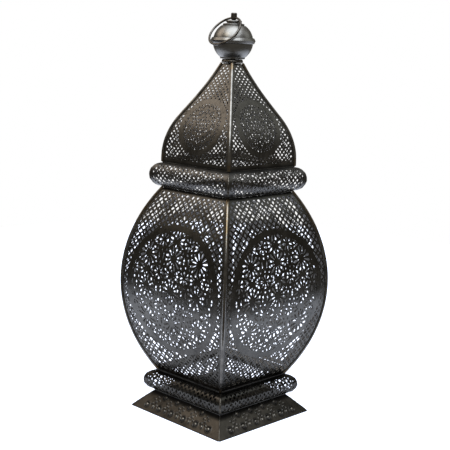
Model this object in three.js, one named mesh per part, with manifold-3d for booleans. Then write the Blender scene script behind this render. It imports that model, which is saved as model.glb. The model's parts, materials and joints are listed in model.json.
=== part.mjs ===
// A square metal lantern with an onion dome: millimetres, +Z up, origin at the centre of the foot.
// Each level is a square. "Apothem" is the distance from the axis to a flat side, so a side is 2 apothems long.
// The four sides are front (-Y), right (+X), back (+Y, which holds the door) and left (-X).
import * as THREE from 'three';
import { mergeVertices } from 'three/addons/utils/BufferGeometryUtils.js';
import Module from 'manifold-3d';

const wasm = await Module();
wasm.setup();
const { Manifold, Mesh } = wasm;

// ---- driving dimensions -------------------------------------------------------------------------

const SHEET = 0.8; // wall of every etched or spun sheet
const PLATE = 1.0; // wall of the square joining frames
const GAP = 0.3; // clearance between pieces that touch
const MITRE = 0.21; // each mitred end stops this far, along its own side, before the diagonal
const ROD = 2.25; // radius of the corner rods
const ROD_PROUD = 1.8; // how far a corner rod stands out past the corner, along the diagonal
const ROD_MARGIN = 3.4; // each panel's edge stops this far before the corner, to leave room for its rod

const SKIRT = { apothem: 91.25, topApothem: 67, height: 24.3, hem: 7 };
const FLOOR = { z: SKIRT.height + GAP, apothem: 67 };
const FRAME_APOTHEM = 65; // outside of the square frames
const FRAME_OPENING = 52; // and of the square hole in each
const LIP = 5; // flange along each edge of a hollow moulding
const LOWER_RING = { z: FLOOR.z + PLATE + GAP, halfHeight: 14.5, apothem: 64, depth: 14.5 };
const LOWER_FRAME = { z: LOWER_RING.z + 2 * LOWER_RING.halfHeight + GAP };
const BODY = { z0: LOWER_FRAME.z + PLATE + GAP, height: 263, endApothem: 64, apothem: 102.5 };
BODY.z1 = BODY.z0 + BODY.height;
BODY.middle = (BODY.z0 + BODY.z1) / 2;
const UPPER_FRAME = { z: BODY.z1 + GAP };
const UPPER_RING = { z: UPPER_FRAME.z + PLATE + GAP, halfHeight: 16.4, apothem: 64, depth: 13.6 };
const DOME_FRAME = { z: UPPER_RING.z + 2 * UPPER_RING.halfHeight + GAP };
const DOME = {
  z0: DOME_FRAME.z + PLATE + GAP,
  apothem: 64.8,
  wall: 6.5, // upright stretch at the foot
  shoulderRadius: 112, // the outward bulge
  shoulderTurn: THREE.MathUtils.degToRad(31),
  straight: 23.7, // sloping flat between bulge and flare
  flareRadius: 400, // the inward sweep up to the finial
  flareTurn: THREE.MathUtils.degToRad(8.4),
};

const STUD = { radius: 2.2, hole: 2.6 };
const HEAD = { radius: 4.1, height: 7.8, eye: 1.8, eyeAbove: 1.2 };
const LOOP = { radius: 24.5, wire: 1.3, lean: THREE.MathUtils.degToRad(48) }; // lean is below the horizontal

const PAN = { radius: 40, height: 8 };
const SPIKE = { radius: 2.5, height: 22, flange: 9 };

const JAMB = 9; // width of the fixed strip on each side of the door
const RAIL = 7.5; // height of the fixed strip over and under the door
const DOOR_GAP = 0.4;
const HINGE = { knuckle: 2.1, bore: 1.35, pin: 1.0, height: 36, axisOut: 2.6, fixedLeaf: 8, doorLeaf: 14 };
const BUTTON = { thick: 1.0, eye: 3.6, length: 17, tip: 2.2, stand: 0.5 };
const KNOB = { radius: 4.2, neck: 1.7, height: 6.6, fromEdge: 14 };

const ROUND = 28; // segments of a turned piece
const SIDES = { back: 0, left: 90, front: 180, right: 270 }; // turn of each side about Z, in degrees
const CORNERS = { back_right: 45, back_left: 135, front_left: 225, front_right: 315 };

// ---- materials ----------------------------------------------------------------------------------

const metal = (color, roughness) => new THREE.MeshStandardMaterial({ color, roughness, metalness: 1 });
const MATERIAL = {
  etched: metal(0x4a443d, 0.4), // pierced sheet of body, dome and mouldings
  base: metal(0x57504a, 0.5), // stamped sheet of the skirt
  rod: metal(0x8a8078, 0.35), // corner rods, rubbed bright
  spun: metal(0x7d7a74, 0.3), // finial
  wire: metal(0x5c5750, 0.35), // carrying loop
  fastener: metal(0x6b665f, 0.45), // hinge, knob, button, nuts
  inner: metal(0x2c2a28, 0.6), // floor, frames and candle pan
};

// ---- solids -------------------------------------------------------------------------------------

// A closed geometry as a manifold-3d solid.
function solid(geometry) {
  const bare = geometry.clone();
  bare.deleteAttribute('normal');
  bare.deleteAttribute('uv');
  const merged = mergeVertices(bare, 1e-3);
  return new Manifold(new Mesh({
    numProp: 3,
    vertProperties: merged.attributes.position.array,
    triVerts: new Uint32Array(merged.index.array),
  }));
}

function geometryOf(made) {
  const { numProp, numVert, vertProperties, triVerts } = made.getMesh();
  const position = new Float32Array(numVert * 3);
  for (let i = 0; i < numVert; i++) position.set(vertProperties.subarray(i * numProp, i * numProp + 3), i * 3);
  const geometry = new THREE.BufferGeometry();
  geometry.setAttribute('position', new THREE.BufferAttribute(position, 3));
  geometry.setIndex(new THREE.BufferAttribute(triVerts, 1));
  geometry.computeVertexNormals();
  return geometry;
}

// A box given by its lowest and highest corners.
function block(low, high) {
  const size = high.map((v, i) => v - low[i]);
  return new THREE.BoxGeometry(...size).translate(...high.map((v, i) => (v + low[i]) / 2));
}

const upright = (radius, height, z, sides = ROUND) =>
  new THREE.CylinderGeometry(radius, radius, height, sides).rotateX(Math.PI / 2).translate(0, 0, z + height / 2);

// A turned piece about Z, from a closed outline of [radius, z] points that runs round the section.
function turned(outline, segments = ROUND) {
  const points = outline.map(([r, z]) => new THREE.Vector2(r, z));
  if (THREE.ShapeUtils.isClockWise(points)) points.reverse();
  points.push(points[0].clone());
  return new THREE.LatheGeometry(points, segments).rotateX(Math.PI / 2);
}

// A flat piece: an outline of [x, y] points, extruded up from z.
function flat(outline, z, thickness, holes = []) {
  const shape = new THREE.Shape(outline.map(([x, y]) => new THREE.Vector2(x, y)));
  shape.holes = holes;
  return new THREE.ExtrudeGeometry(shape, { depth: thickness, bevelEnabled: false, curveSegments: 12 })
    .translate(0, 0, z);
}

const square = (a) => [[-a, -a], [a, -a], [a, a], [-a, a]];
const roundHole = (radius) => new THREE.Path().absarc(0, 0, radius, 0, 2 * Math.PI, true);
const squareHole = (a) => new THREE.Path(square(a).reverse().map(([x, y]) => new THREE.Vector2(x, y)));

// ---- outlines of bent sheet, as [apothem, z] points ---------------------------------------------

// Points on an arc about (a, z), from one angle to another. Angle 0 points outwards and 90 degrees up.
function arc(a, z, radiusA, radiusZ, from, to, steps) {
  const at = (i) => from + ((to - from) * i) / steps;
  return Array.from({ length: steps + 1 }, (_, i) => [a + radiusA * Math.cos(at(i)), z + radiusZ * Math.sin(at(i))]);
}

// The body's side bulges on one arc, which passes through its end apothem at both ends.
const bulge = BODY.apothem - BODY.endApothem;
const bodyRadius = ((BODY.height / 2) ** 2 + bulge ** 2) / (2 * bulge);
const bodyCentre = BODY.apothem - bodyRadius;
const bodyApothem = (z) => bodyCentre + Math.sqrt(bodyRadius ** 2 - (z - BODY.middle) ** 2);
const bodyAngle = (z) => Math.asin((z - BODY.middle) / bodyRadius);
const bodyOutline = (z0, z1, steps, out = 0) =>
  arc(bodyCentre, BODY.middle, bodyRadius + out, bodyRadius + out, bodyAngle(z0), bodyAngle(z1), steps);

// The dome's side is an ogee: upright wall, outward bulge, straight slope, inward flare.
function domeOutline() {
  const { z0, apothem, wall, shoulderRadius: r, shoulderTurn: turn, straight, flareRadius, flareTurn } = DOME;
  const shoulder = arc(apothem - r, z0 + wall, r, r, 0, turn, 9);
  const [a, z] = shoulder.at(-1);
  const run = [a - straight * Math.sin(turn), z + straight * Math.cos(turn)];
  const centre = [run[0] + flareRadius * Math.cos(turn), run[1] + flareRadius * Math.sin(turn)];
  const flare = arc(...centre, flareRadius, flareRadius, Math.PI + turn, Math.PI + turn - flareTurn, 4);
  return [[apothem, z0], ...shoulder, ...flare];
}

// A half-round moulding with a flat lip along both edges.
function ringOutline({ z, halfHeight, apothem, depth }) {
  const round = arc(apothem, z + halfHeight, depth, halfHeight, -Math.PI / 2, Math.PI / 2, 10);
  return [[apothem - LIP, z], ...round, [apothem - LIP, z + 2 * halfHeight]];
}

// The section of a sheet whose outside follows the outline: the wall goes to the left of its run.
function sheetSection(outline, thickness = SHEET) {
  const points = outline.map(([a, z]) => new THREE.Vector2(a, z));
  const normals = points.slice(1).map((p, i) => {
    const run = p.clone().sub(points[i]).normalize();
    return new THREE.Vector2(-run.y, run.x);
  });
  const inner = points.map((p, i) => {
    const before = normals[Math.max(0, i - 1)];
    const after = normals[Math.min(i, normals.length - 1)];
    const mean = before.clone().add(after).normalize();
    return p.clone().add(mean.multiplyScalar(thickness / mean.dot(after)));
  });
  return new THREE.Shape([...points, ...inner.reverse()]);
}

// Everything between the two diagonals on the +Y side, each edge drawn in by the margin.
function wedge(margin, reach = 150, z0 = -10, z1 = 600) {
  return solid(flat([[0, margin], [reach, reach + margin], [-reach, reach + margin]], z0, z1 - z0));
}

// A bent sheet along the +Y side, between two x, cut back to its corners.
function sideSheet(outline, { margin = MITRE, x0 = -120, x1 = 120, thickness = SHEET } = {}) {
  const extruded = new THREE.ExtrudeGeometry(sheetSection(outline, thickness), { depth: x1 - x0, bevelEnabled: false });
  const place = new THREE.Matrix4().makeBasis(
    new THREE.Vector3(0, 1, 0), new THREE.Vector3(0, 0, 1), new THREE.Vector3(1, 0, 0));
  return solid(extruded.applyMatrix4(place).translate(x0, 0, 0)).intersect(wedge(margin));
}

// ---- scene graph --------------------------------------------------------------------------------

const lantern = new THREE.Group();

function add(name, shape, material, parent = lantern) {
  const mesh = new THREE.Mesh(shape.isBufferGeometry ? shape : geometryOf(shape), material);
  mesh.name = name;
  parent.add(mesh);
  return mesh;
}

// The same solid on several sides, named after each side.
function addSides(prefix, made, material, sides = Object.keys(SIDES)) {
  for (const side of sides) {
    add(`${prefix}_${side}`, made, material).rotation.z = THREE.MathUtils.degToRad(SIDES[side]);
  }
}

// ---- foot: skirt, floor and candle pan ----------------------------------------------------------

addSides('skirt', sideSheet([
  [SKIRT.apothem - SKIRT.hem, 0],
  [SKIRT.apothem, 0],
  [SKIRT.topApothem, SKIRT.height],
]), MATERIAL.base);

add('floor_plate', flat(square(FLOOR.apothem), FLOOR.z, PLATE, [roundHole(STUD.hole)]), MATERIAL.inner);

const panZ = FLOOR.z + PLATE + GAP;
add('candle_pan', turned([
  [STUD.hole, panZ],
  [PAN.radius - 3, panZ],
  [PAN.radius, panZ + PAN.height],
  [PAN.radius - SHEET, panZ + PAN.height],
  [PAN.radius - 3 - SHEET, panZ + SHEET],
  [STUD.hole, panZ + SHEET],
]), MATERIAL.inner);

const spikeZ = panZ + SHEET + GAP;
const nutHeight = 3.2;
const spikeNutZ = FLOOR.z - GAP - nutHeight;
add('candle_spike', turned([
  [0, spikeNutZ - 1],
  [STUD.radius, spikeNutZ - 1],
  [STUD.radius, spikeZ],
  [SPIKE.flange, spikeZ],
  [SPIKE.flange, spikeZ + 1.2],
  [SPIKE.radius, spikeZ + 1.8],
  [0.3, spikeZ + SPIKE.height],
  [0, spikeZ + SPIKE.height],
], 16), MATERIAL.fastener);

const hexNut = (z) => flat(
  Array.from({ length: 6 }, (_, i) => [4.6 * Math.cos((i * Math.PI) / 3), 4.6 * Math.sin((i * Math.PI) / 3)]),
  z, nutHeight, [roundHole(STUD.hole)]);
add('spike_nut', hexNut(spikeNutZ), MATERIAL.fastener);

// ---- mouldings and the square frames that join the levels ---------------------------------------

addSides('lower_ring', sideSheet(ringOutline(LOWER_RING)), MATERIAL.etched);
addSides('upper_ring', sideSheet(ringOutline(UPPER_RING)), MATERIAL.etched);

const frameAt = (z) => flat(square(FRAME_APOTHEM), z, PLATE, [squareHole(FRAME_OPENING)]);
add('lower_frame', frameAt(LOWER_FRAME.z), MATERIAL.inner);
add('upper_frame', frameAt(UPPER_FRAME.z), MATERIAL.inner);
add('dome_frame', frameAt(DOME_FRAME.z), MATERIAL.inner);

// ---- body: three fixed panels, and the frame of the door at the back ----------------------------

const bodyPanel = sideSheet(bodyOutline(BODY.z0, BODY.z1, 18), { margin: ROD_MARGIN });
addSides('body_panel', bodyPanel, MATERIAL.etched, ['left', 'front', 'right']);

const doorBottom = BODY.z0 + RAIL;
const doorTop = BODY.z1 - RAIL;
const jambMargin = ROD_MARGIN + JAMB;
const sheetBetween = (z0, z1, options) => sideSheet(bodyOutline(z0, z1, Math.max(2, Math.round((z1 - z0) / 15))), options);

add('door_sill', sheetBetween(BODY.z0, doorBottom, { margin: ROD_MARGIN }), MATERIAL.etched);
add('door_header', sheetBetween(doorTop, BODY.z1, { margin: ROD_MARGIN }), MATERIAL.etched);
for (const [name, x0, x1] of [['jamb_left', -120, 0], ['jamb_right', 0, 120]]) {
  const strip = sheetBetween(doorBottom + GAP, doorTop - GAP, { margin: ROD_MARGIN, x0, x1 });
  add(name, strip.subtract(wedge(jambMargin)), MATERIAL.etched);
}
const doorMargin = jambMargin + DOOR_GAP;
add('door_panel', sheetBetween(doorBottom + 1, doorTop - 1, { margin: doorMargin }), MATERIAL.etched);

// ---- corner rods --------------------------------------------------------------------------------

// The middle line of a corner rod, in the upright plane through a diagonal.
class CornerLine extends THREE.Curve {
  constructor(outline) {
    super();
    this.line = new THREE.SplineCurve(outline.map(([a, z]) => new THREE.Vector2(a, z)));
  }

  getPoint(t) {
    const { x: apothem, y: z } = this.line.getPoint(t);
    return new THREE.Vector3(apothem * Math.SQRT2 + ROD_PROUD - ROD, 0, z);
  }
}

function cornerRod(outline, steps, z0, z1) {
  const section = new THREE.Shape().absarc(0, 0, ROD, 0, 2 * Math.PI);
  const rod = new THREE.ExtrudeGeometry(section, { steps, curveSegments: 4, extrudePath: new CornerLine(outline) });
  return solid(rod).intersect(solid(block([0, -10, z0], [160, 10, z1])));
}

function addCorners(prefix, made) {
  for (const [corner, turn] of Object.entries(CORNERS)) {
    add(`${prefix}_${corner}`, made, MATERIAL.rod).rotation.z = THREE.MathUtils.degToRad(turn);
  }
}

const overrun = 4; // a rod's line runs past both ends, which are then cut level
addCorners('body_rod', cornerRod(bodyOutline(BODY.z0 - overrun, BODY.z1 + overrun, 14), 14, BODY.z0, BODY.z1));

const ogee = domeOutline();
const domeTop = ogee.at(-1)[1];
const before = (from, to) => [2 * to[0] - from[0], 2 * to[1] - from[1]]; // one more step in the same direction
const longOgee = [[DOME.apothem, DOME.z0 - overrun], ...ogee, before(ogee.at(-2), ogee.at(-1))];

// ---- dome ---------------------------------------------------------------------------------------

addSides('dome_panel', sideSheet(ogee, { margin: ROD_MARGIN }), MATERIAL.etched);
addCorners('dome_rod', cornerRod(longOgee, 18, DOME.z0, domeTop));

const topPlate = { z: domeTop + GAP, apothem: 10.6 };
add('top_plate', flat(square(topPlate.apothem), topPlate.z, PLATE, [roundHole(STUD.hole)]), MATERIAL.inner);

// ---- finial: collar, two half shells with a bead between, two caps and the stud that clamps them -

const BALL = { radius: 27.4, rise: 26.5 }; // a little wider than it is high
const collarZ = topPlate.z + PLATE + GAP;
const collarTop = collarZ + 4.1;
add('neck_collar', turned([
  [13.4, collarZ],
  [14.6, collarZ],
  [14.6, collarZ + 1.6],
  [13.6, collarTop],
  [STUD.hole, collarTop],
  [STUD.hole, collarTop - SHEET],
  [12.7, collarTop - SHEET],
]), MATERIAL.spun);

// The ball's outline between two heights, and the same line one sheet further in.
const ballLow = collarTop + GAP;
const lipHeight = 2.4;
BALL.z = ballLow + 23.1;
const ballHalf = (z0, z1, steps) => {
  const { radius, rise, z } = BALL;
  return arc(0, z, radius, rise, Math.asin((z0 - z) / rise), Math.asin((z1 - z) / rise), steps);
};
const inwards = (line) => line.map(([r, z]) => {
  const scale = 1 - SHEET / BALL.radius;
  return [r * scale, BALL.z + (z - BALL.z) * scale];
}).reverse();

const BEAD = { low: BALL.z - 2.6, height: 8, radius: 30.6, rib: BALL.radius + 0.6 };
const lowerHalf = ballHalf(ballLow + lipHeight, BEAD.low - GAP, 7);
add('ball_lower_shell', turned([
  [STUD.hole, ballLow],
  [16.9, ballLow],
  [16.9, ballLow + lipHeight - 0.6],
  ...lowerHalf,
  ...inwards(lowerHalf),
  [15, ballLow + SHEET],
  [STUD.hole, ballLow + SHEET],
]), MATERIAL.spun);

const beadTop = BEAD.low + BEAD.height;
add('ball_bead', turned([
  [26, BEAD.low],
  [BEAD.rib, BEAD.low],
  [BEAD.rib + 0.3, BEAD.low + 0.9],
  [BEAD.rib - 0.3, BEAD.low + 1.7],
  ...arc(BEAD.rib - 0.6, BEAD.low + 3.9, BEAD.radius - BEAD.rib + 0.6, 2.2, -Math.PI / 2, Math.PI / 2, 6),
  [BEAD.rib - 0.4, beadTop - 1.7],
  [BEAD.rib, beadTop - 0.9],
  [BEAD.rib - 0.4, beadTop],
  [26, beadTop],
]), MATERIAL.spun);

const capZ = BALL.z + 21.6;
const upperHalf = ballHalf(beadTop + GAP, capZ - GAP, 7);
add('ball_upper_shell', turned([
  ...upperHalf,
  [STUD.hole, capZ - GAP],
  [STUD.hole, capZ - GAP - SHEET],
  [14, capZ - GAP - SHEET],
  ...inwards(upperHalf).slice(1),
]), MATERIAL.spun);

add('cap_large', turned([
  [STUD.hole, capZ],
  [14.2, capZ],
  [14.9, capZ + 0.8],
  [14.9, capZ + 1.5],
  [14.0, capZ + 2.2],
  [10.5, capZ + 2.8],
  [STUD.hole, capZ + 2.8],
]), MATERIAL.spun);

const smallCapZ = capZ + 2.8 + GAP;
const smallCapTop = smallCapZ + 3.9;
add('cap_small', turned([
  [STUD.hole, smallCapZ],
  [9.6, smallCapZ],
  [9.3, smallCapZ + 1.2],
  [10.9, smallCapZ + 1.7],
  [11.2, smallCapZ + 2.4],
  [10.8, smallCapZ + 3.2],
  [4.5, smallCapTop],
  [STUD.hole, smallCapTop],
]), MATERIAL.spun);

const washerZ = topPlate.z - GAP - 0.8;
add('stud_washer', flat([...arc(0, 0, 6, 6, 0, (2 * Math.PI * 19) / 20, 19)], washerZ, 0.8, [roundHole(STUD.hole)]),
  MATERIAL.fastener);
const studNutZ = washerZ - GAP - nutHeight;
add('stud_nut', hexNut(studNutZ), MATERIAL.fastener);

// The stud's head is the small cylinder at the very top. The loop's wire passes through the eye across it.
const stemZ = smallCapTop + GAP;
const headZ = stemZ + 1.6;
const headTop = headZ + HEAD.height;
const eyeZ = headZ + HEAD.eyeAbove;
const stud = solid(turned([
  [0, studNutZ - 1.5],
  [STUD.radius, studNutZ - 1.5],
  [STUD.radius, stemZ],
  [3.3, stemZ],
  [3.3, headZ],
  [HEAD.radius, headZ],
  [HEAD.radius, headTop - 0.8],
  [HEAD.radius - 0.8, headTop],
  [0, headTop],
], 20));
const eye = new THREE.CylinderGeometry(HEAD.eye, HEAD.eye, 20, 14).rotateZ(Math.PI / 2).translate(0, 0, eyeZ);
add('finial_stud', stud.subtract(solid(eye)), MATERIAL.spun);

// The loop leans over the front of the ball: its wire crosses the eye along X.
const loop = new THREE.Group();
loop.position.set(0, 0, eyeZ);
loop.rotation.x = LOOP.lean;
lantern.add(loop);
const loopGeometry = new THREE.TorusGeometry(LOOP.radius, LOOP.wire, 8, 44).translate(0, -LOOP.radius, 0);
add('carrying_loop', loopGeometry, MATERIAL.wire, loop);

// ---- door furniture -----------------------------------------------------------------------------

// The hinge's axis is upright, just outside the gap between door and right jamb, at the widest level.
const hingeX = BODY.apothem - jambMargin - DOOR_GAP / 2;
const hingeY = BODY.apothem + HINGE.axisOut;
const hingeZ0 = BODY.middle - HINGE.height / 2;
const knuckleHeight = HINGE.height / 3;
const atAxis = (radius, z0, z1) => solid(upright(radius, z1 - z0, z0, 16).translate(hingeX, hingeY, 0));

// A leaf lies GAP off the sheet, follows its curve, and is rolled round the pin at its own knuckles.
function leaf(x0, x1, ownKnuckles) {
  const strip = sideSheet(bodyOutline(hingeZ0, hingeZ0 + HINGE.height, 4, GAP + SHEET), { margin: 0, x0, x1 });
  let made = strip;
  for (const i of [0, 1, 2]) {
    const z0 = hingeZ0 + i * knuckleHeight;
    const z1 = z0 + knuckleHeight;
    made = ownKnuckles.includes(i)
      ? made.add(atAxis(HINGE.knuckle, z0 + GAP / 2, z1 - GAP / 2))
      : made.subtract(atAxis(HINGE.knuckle + 0.45, z0 - GAP / 2, z1 + GAP / 2));
  }
  return made.subtract(atAxis(HINGE.bore, hingeZ0 - 1, hingeZ0 + HINGE.height + 1));
}

add('hinge_leaf_fixed', leaf(hingeX, hingeX + HINGE.fixedLeaf, [0, 2]), MATERIAL.fastener);
add('hinge_leaf_door', leaf(hingeX - HINGE.doorLeaf, hingeX, [1]), MATERIAL.fastener);
add('hinge_pin', turned([
  [0, hingeZ0 - 1.5],
  [1.8, hingeZ0 - 1.5],
  [1.8, hingeZ0 - GAP],
  [HINGE.pin, hingeZ0 - GAP],
  [HINGE.pin, hingeZ0 + HINGE.height + 1],
  [0, hingeZ0 + HINGE.height + 1],
], 16), MATERIAL.fastener).position.set(hingeX, hingeY, 0);

// A turned piece whose axis is along +Y, standing off the back at (x, z).
const outward = (outline, x, z) => turned(outline, 18).rotateX(-Math.PI / 2).translate(x, 0, z);

const knobX = -(BODY.apothem - doorMargin - KNOB.fromEdge);
const skin = BODY.apothem + GAP; // just off the widest level of the back
add('door_knob', outward([
  [0, skin],
  [3, skin],
  [KNOB.neck, skin + 1],
  [KNOB.neck, skin + 2],
  [KNOB.radius, skin + 3.4],
  [KNOB.radius, skin + 4.8],
  [2.6, skin + KNOB.height],
  [0, skin + KNOB.height],
], knobX, BODY.middle), MATERIAL.fastener);

// The turn button hangs from a rivet in the left jamb. Turned level, it lies over the door's edge.
const buttonX = -(BODY.apothem - ROD_MARGIN - JAMB / 2);
const buttonY = BODY.apothem + BUTTON.stand;
const teardrop = new THREE.Shape()
  .absarc(0, 0, BUTTON.eye, 0, Math.PI, false)
  .absarc(0, -(BUTTON.length - BUTTON.eye - BUTTON.tip), BUTTON.tip, Math.PI, 2 * Math.PI, false);
teardrop.holes = [roundHole(1.5)];
const button = new THREE.ExtrudeGeometry(teardrop, { depth: BUTTON.thick, bevelEnabled: false, curveSegments: 8 });
add('turn_button', button.rotateX(Math.PI / 2).translate(0, BUTTON.thick, 0), MATERIAL.fastener)
  .position.set(buttonX, buttonY, BODY.middle);
add('button_rivet', outward([
  [0, skin - 0.1],
  [1.15, skin - 0.1],
  [1.15, buttonY + BUTTON.thick + GAP],
  [2.6, buttonY + BUTTON.thick + GAP],
  [1.8, buttonY + BUTTON.thick + 1.5],
  [0, buttonY + BUTTON.thick + 1.5],
], buttonX, BODY.middle), MATERIAL.fastener);

export default lantern;
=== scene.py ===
"""Looks for a square metal lantern: pierced and embossed sheet, corner rods, a finial and a loop.

Lengths are in millimetres until a mesh is made. Each of the four sides is drawn flat first: s runs
across it, t runs up along the bent sheet, and a Profile carries the drawing onto the bend.
"""
import json
import math

import bpy
import numpy as np
from mathutils import Matrix, Vector, noise
from mathutils.geometry import delaunay_2d_cdt


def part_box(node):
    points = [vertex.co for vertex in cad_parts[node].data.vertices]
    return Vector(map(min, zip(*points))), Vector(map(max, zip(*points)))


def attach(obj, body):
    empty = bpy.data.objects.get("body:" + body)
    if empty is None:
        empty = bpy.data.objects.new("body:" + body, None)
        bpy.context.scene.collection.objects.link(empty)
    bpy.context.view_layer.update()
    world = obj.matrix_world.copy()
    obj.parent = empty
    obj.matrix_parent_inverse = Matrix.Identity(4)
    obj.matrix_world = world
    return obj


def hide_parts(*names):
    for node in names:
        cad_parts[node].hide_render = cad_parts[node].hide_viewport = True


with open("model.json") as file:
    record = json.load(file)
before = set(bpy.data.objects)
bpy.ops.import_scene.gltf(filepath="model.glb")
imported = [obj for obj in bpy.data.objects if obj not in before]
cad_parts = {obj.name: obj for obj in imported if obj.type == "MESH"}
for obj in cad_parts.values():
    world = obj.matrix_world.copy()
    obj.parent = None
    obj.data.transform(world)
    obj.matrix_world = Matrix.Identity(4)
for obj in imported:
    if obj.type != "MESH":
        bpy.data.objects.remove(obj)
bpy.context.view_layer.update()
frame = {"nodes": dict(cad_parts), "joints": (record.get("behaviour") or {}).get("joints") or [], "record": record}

MM = 0.001
SHEET = 0.8  # wall of every sheet
MITRE = 0.21  # each mitred end stops this far before the diagonal
ROD = 2.25  # radius of the corner rods
ROD_PROUD = 1.8  # how far a rod stands out past its corner, along the diagonal
ROD_MARGIN = 3.4  # a panel's edge stops this far before its corner, for the rod
PANEL_END = 64.0  # apothem of the body's two ends and of the mouldings' backs
SIDES = {"front": 0.0, "right": 90.0, "back": 180.0, "left": 270.0}  # turn about Z, in degrees
CORNERS = {"front_right": -45.0, "back_right": 45.0, "back_left": 135.0, "front_left": 225.0}

BODY_LATTICE = 4.95  # spacing of the grid that the lattice's holes lie on
DOME_LATTICE = 3.8
RING_LATTICE = 4.1
BODY_OPENNESS = 0.71  # how far a hole reaches from its centre, as a share of the spacing
DOOR_OPENNESS = 0.73
DOME_OPENNESS = 0.69
RING_OPENNESS = 0.7
WIDEST_HOLE = 0.92  # the most of the spacing that a hole may reach, so that neighbours never meet
SMALLEST_HOLE = 1.6  # square millimetres: what is left of a trimmed hole is dropped under this
UNEVEN = 0.2  # how far the size and the shape of a hand-cut hole stray
HAND = np.random.default_rng(11)


def box_mm(node):
    """Lowest and highest corner of a CAD node, in millimetres."""
    low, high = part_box(node)
    return [v / MM for v in low], [v / MM for v in high]


def heights_of(node):
    """Lowest and highest z of a CAD node, in millimetres."""
    return [corner[2] for corner in box_mm(node)]


def with_next(items):
    """Each item of a closed list with the one after it."""
    return zip(items, items[1:] + items[:1])


# ---- bent sheet ----


def arc(a, z, radius_a, radius_z, start, end, steps):
    """Points on an arc about (a, z). Angle 0 points outwards and 90 degrees points up."""
    angles = np.linspace(start, end, steps + 1)
    return [(a + radius_a * math.cos(u), z + radius_z * math.sin(u)) for u in angles]


class Profile:
    """The outside line of a bent sheet: (apothem, height) points, and the distance t along it."""

    def __init__(self, points, t_start=0.0):
        line = np.array(points, float)
        steps = np.hypot(*np.diff(line, axis=0).T)
        self.t = t_start + np.concatenate([[0.0], np.cumsum(steps)])
        self.a, self.z = line.T
        self.slope_a = np.gradient(self.a, self.t)
        self.slope_z = np.gradient(self.z, self.t)

    def apothem(self, t):
        return np.interp(t, self.t, self.a)

    def height(self, t):
        return np.interp(t, self.t, self.z)

    def slope(self, t):
        return np.interp(t, self.t, self.slope_a)

    def t_at(self, z):
        return float(np.interp(z, self.z, self.t))

    def normals(self, t, turn):
        """The way the sheet's outside faces, on the side with that turn."""
        out, up = np.interp(t, self.t, self.slope_z), -self.slope(t)
        length = np.hypot(out, up)
        return turned_about_z(np.stack([0 * out, -out / length, up / length], -1), turn)

    def place(self, s, t, depth, turn):
        """Points depth under the outside of the sheet."""
        flat = np.stack([s, -self.apothem(t), self.height(t)], -1)
        return turned_about_z(flat, turn) - self.normals(t, turn) * np.asarray(depth)[..., None]


def turned_about_z(points, degrees):
    c, s = math.cos(math.radians(degrees)), math.sin(math.radians(degrees))
    x, y, z = np.moveaxis(np.asarray(points, float), -1, 0)
    return np.stack([c * x - s * y, s * x + c * y, z], -1)


def body_profile():
    """The body's side: one arc that bulges between its two ends. t is 0 at the widest level."""
    low, high = box_mm("body_panel_front")
    widest, middle, half = -low[1], (low[2] + high[2]) / 2, (high[2] - low[2]) / 2
    bulge = widest - PANEL_END
    radius = (half**2 + bulge**2) / (2 * bulge)
    angle = math.asin(half / radius)
    line = arc(widest - radius, middle, radius, radius, -angle, angle, 400)
    return Profile(line, -radius * angle)


def dome_profile():
    """The dome's side: upright wall, outward bulge, straight slope and inward flare."""
    low, _ = box_mm("dome_panel_front")
    apothem, z0 = -low[1], low[2]
    wall, straight = 6.5, 23.7  # lengths of the upright wall and of the straight slope
    shoulder, bulge_turn = 112.0, math.radians(31)  # the bulge's radius, and how far it leans in
    flare, flare_turn = 400.0, math.radians(8.4)
    bulge = arc(apothem - shoulder, z0 + wall, shoulder, shoulder, 0, bulge_turn, 80)
    a, z = bulge[-1]
    a, z = a - straight * math.sin(bulge_turn), z + straight * math.cos(bulge_turn)
    centre = (a + flare * math.cos(bulge_turn), z + flare * math.sin(bulge_turn))
    start = math.pi + bulge_turn
    tip = arc(*centre, flare, flare, start, start - flare_turn, 60)
    return Profile([(apothem, z0), *bulge, *tip])


def ring_profile(node):
    """A half-round moulding with a flat lip along both edges."""
    low, high = box_mm(node)
    z, half = low[2], (high[2] - low[2]) / 2
    depth, lip = -low[1] - PANEL_END, 5.0
    curve = arc(PANEL_END, z + half, depth, half, -math.pi / 2, math.pi / 2, 120)
    return Profile([(PANEL_END - lip, z), *curve, (PANEL_END - lip, z + 2 * half)])


def skirt_profile():
    """The foot's side: inward hem, rounded fold, slope and inward flange. t is 0 at the fold."""
    low, high = box_mm("skirt_front")
    foot, top, height = -low[1], 67.0, high[2]  # top is the apothem of the slope's upper edge
    hem, flange = 7.0, 4.0
    fold = 0.5  # radius of the fold between the hem and the slope
    lean = math.atan2(foot - top, height)
    reach = fold * math.tan((math.pi / 2 + lean) / 2)
    bend = arc(foot - reach, fold, fold, fold, -math.pi / 2, lean, 12)
    return Profile([(foot - hem, 0.0), *bend, (top, height), (top - flange, height)], -hem)


# ---- flat drawing: holes as convex outlines ----


def clipped(outline, nx, ny, limit):
    """The part of a convex outline where nx*s + ny*t is at most limit."""
    kept = []
    for (s0, t0), (s1, t1) in with_next(outline):
        d0, d1 = nx * s0 + ny * t0 - limit, nx * s1 + ny * t1 - limit
        if d0 <= 0:
            kept.append((s0, t0))
        if d0 * d1 < 0:
            k = d0 / (d0 - d1)
            kept.append((s0 + k * (s1 - s0), t0 + k * (t1 - t0)))
    return kept


def area(outline):
    return sum(s0 * t1 - s1 * t0 for (s0, t0), (s1, t1) in with_next(outline)) / 2


def centre_of(outline):
    return tuple(np.mean(outline, axis=0))


def tidy(outline, closest=0.12):
    """The outline without corners that nearly coincide."""
    kept = [p for p, q in with_next(outline) if math.dist(p, q) > closest]
    return kept if len(kept) > 2 else []


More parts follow.
